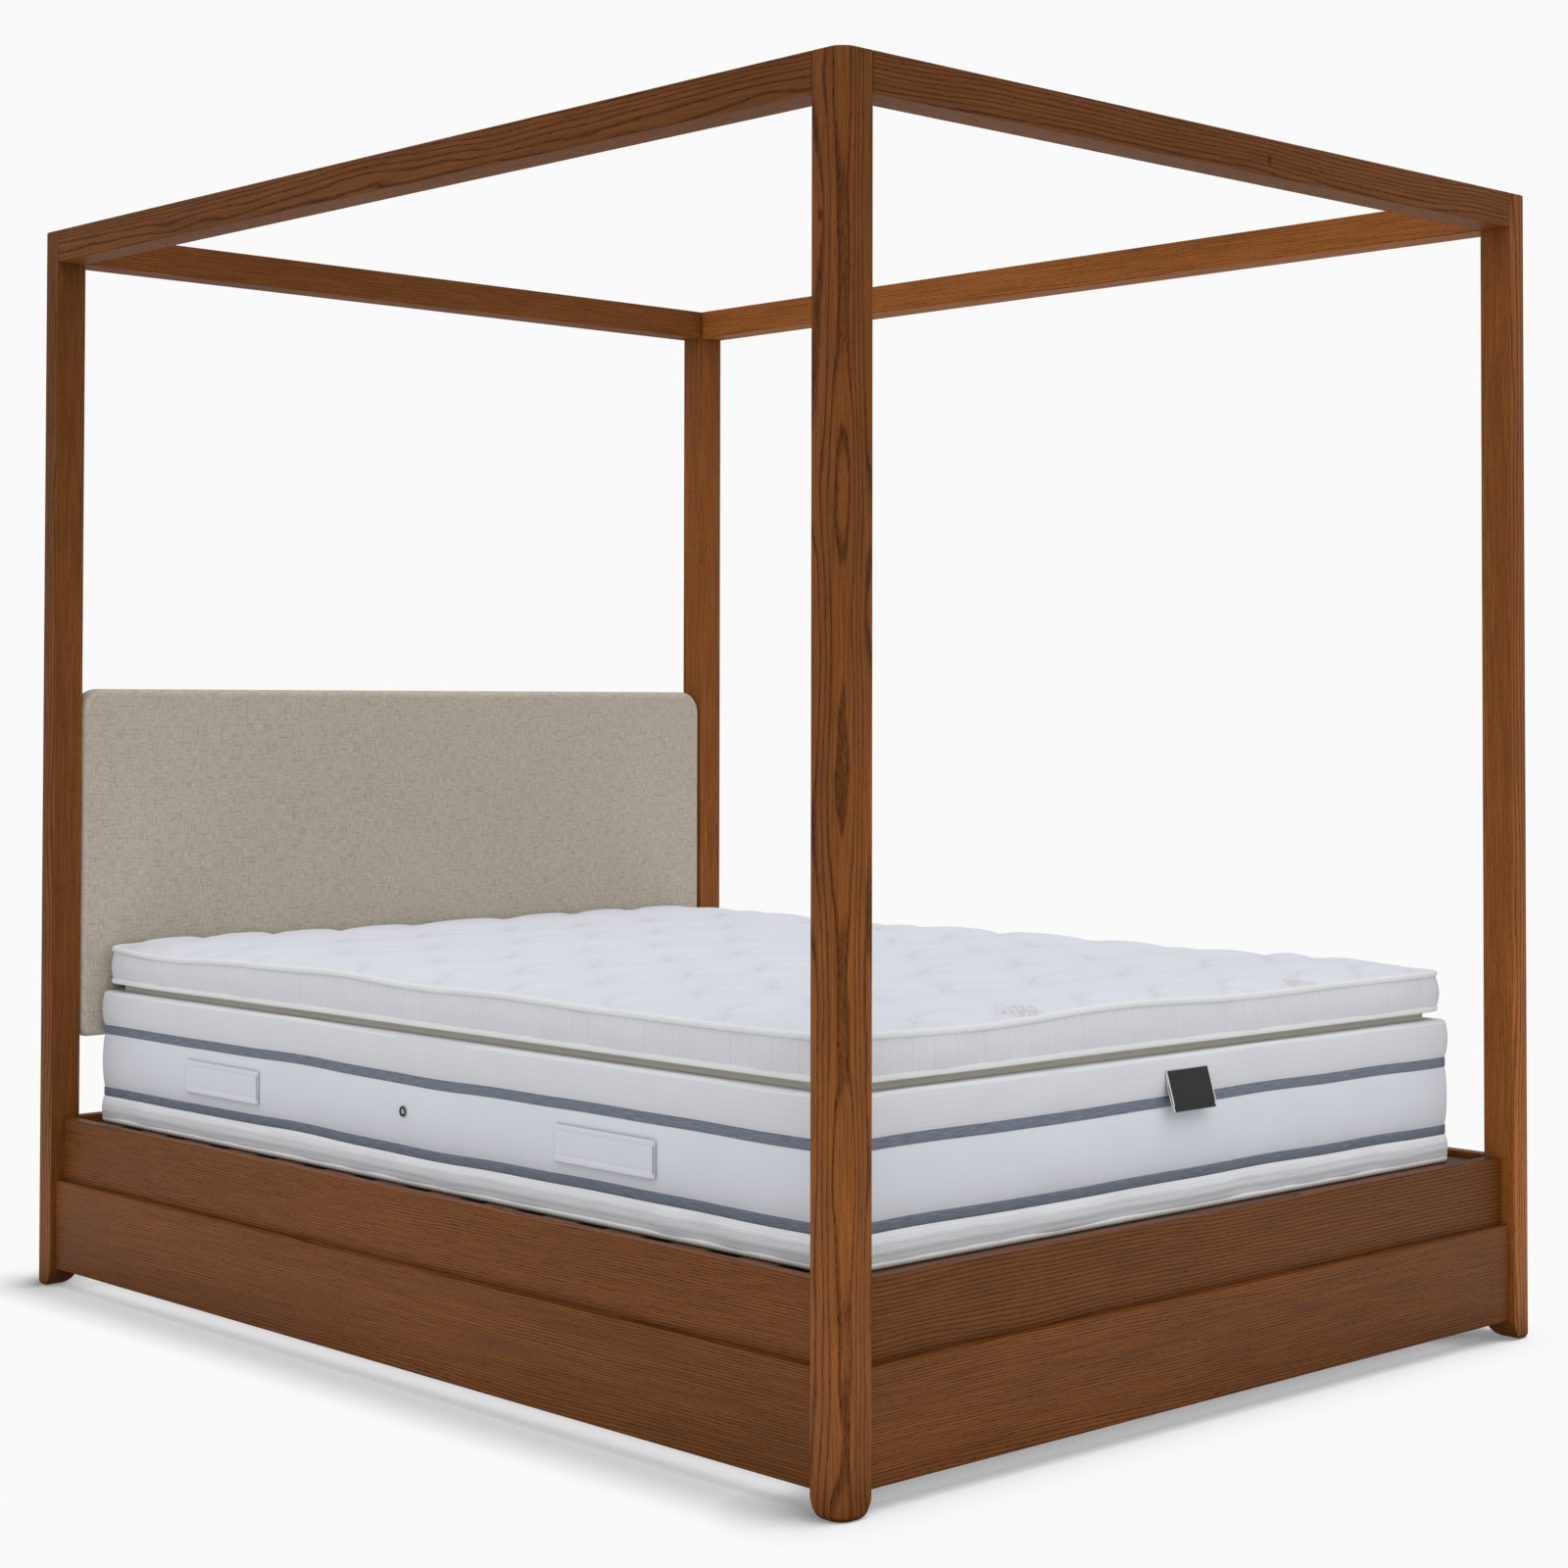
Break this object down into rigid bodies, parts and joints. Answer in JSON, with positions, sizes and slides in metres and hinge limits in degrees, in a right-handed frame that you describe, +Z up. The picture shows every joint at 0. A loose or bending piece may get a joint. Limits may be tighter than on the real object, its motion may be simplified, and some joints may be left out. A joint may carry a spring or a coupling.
{
  "type": "four poster canopy bed",
  "caption": "Square-post canopy bed with an open top frame, stepped bed boards, slatted base, padded headboard and pillow-top mattress.",
  "frame": {"origin": "on the floor under the centre of the bed", "axes": "+Z up, +Y towards the headboard, +X towards the bed's right side as seen from its foot"},
  "size_m": [1.7, 2.16, 1.99],
  "materials": {
    "oak": "mid-brown stained oak under satin lacquer, open grain",
    "pine": "planed, unfinished",
    "plywood": "sanded, unfinished",
    "zinc_steel": "zinc plated",
    "nylon": "moulded",
    "linen": "plain-weave linen mix, oatmeal",
    "ticking": "quilted stretch knit, white",
    "neck_cloth": "plain calico, beige",
    "webbing": "flat woven webbing, white",
    "grey_tape": "woven ribbon, slate grey",
    "piping": "bound edge piping, white",
    "label_cloth": "woven satin label, plain",
    "eyelet": "pressed nickel-plated metal"
  },
  "bodies": {
    "frame": {"foot_left_post": "oak", "foot_right_post": "oak", "head_left_post": "oak", "head_right_post": "oak", "left_top_rail": "oak", "right_top_rail": "oak", "foot_top_rail": "oak", "head_top_rail": "oak", "left_side_board": "oak", "right_side_board": "oak", "foot_board": "oak", "head_board_rail": "oak", "left_plinth_board": "oak", "right_plinth_board": "oak", "foot_plinth_board": "oak", "foot_left_side_bolt": "zinc_steel", "foot_left_end_bolt": "zinc_steel", "foot_right_side_bolt": "zinc_steel", "foot_right_end_bolt": "zinc_steel", "head_left_side_bolt": "zinc_steel", "head_left_end_bolt": "zinc_steel", "head_right_side_bolt": "zinc_steel", "head_right_end_bolt": "zinc_steel", "left_slat_bearer": "pine", "right_slat_bearer": "pine", "slat_01": "pine", "slat_02": "pine", "slat_03": "pine", "slat_04": "pine", "slat_05": "pine", "slat_06": "pine", "slat_07": "pine", "slat_08": "pine", "slat_09": "pine", "slat_10": "pine", "slat_11": "pine", "slat_12": "pine", "slat_13": "pine", "slat_14": "pine", "centre_rail": "pine", "centre_leg": "pine", "centre_leg_glide": "nylon", "foot_rail_hanger": "zinc_steel", "head_rail_hanger": "zinc_steel", "headboard_core": "plywood", "headboard_padding": "linen", "headboard_bracket_left_low": "zinc_steel", "headboard_bracket_left_high": "zinc_steel", "headboard_bracket_right_low": "zinc_steel", "headboard_bracket_right_high": "zinc_steel"},
    "mattress": {"mattress_core": "ticking", "mattress_neck": "neck_cloth", "mattress_topper": "ticking", "left_foot_handle": "webbing", "left_head_handle": "webbing", "right_foot_handle": "webbing", "right_head_handle": "webbing", "left_air_vent": "eyelet", "right_air_vent": "eyelet", "mattress_label": "label_cloth"}
  },
  "joints": [
    {"name": "mattress_lift", "type": "slide", "parent": "frame", "child": "mattress", "axis": [0, 0, 1], "range_m": [0, 0.3]}
  ]
}
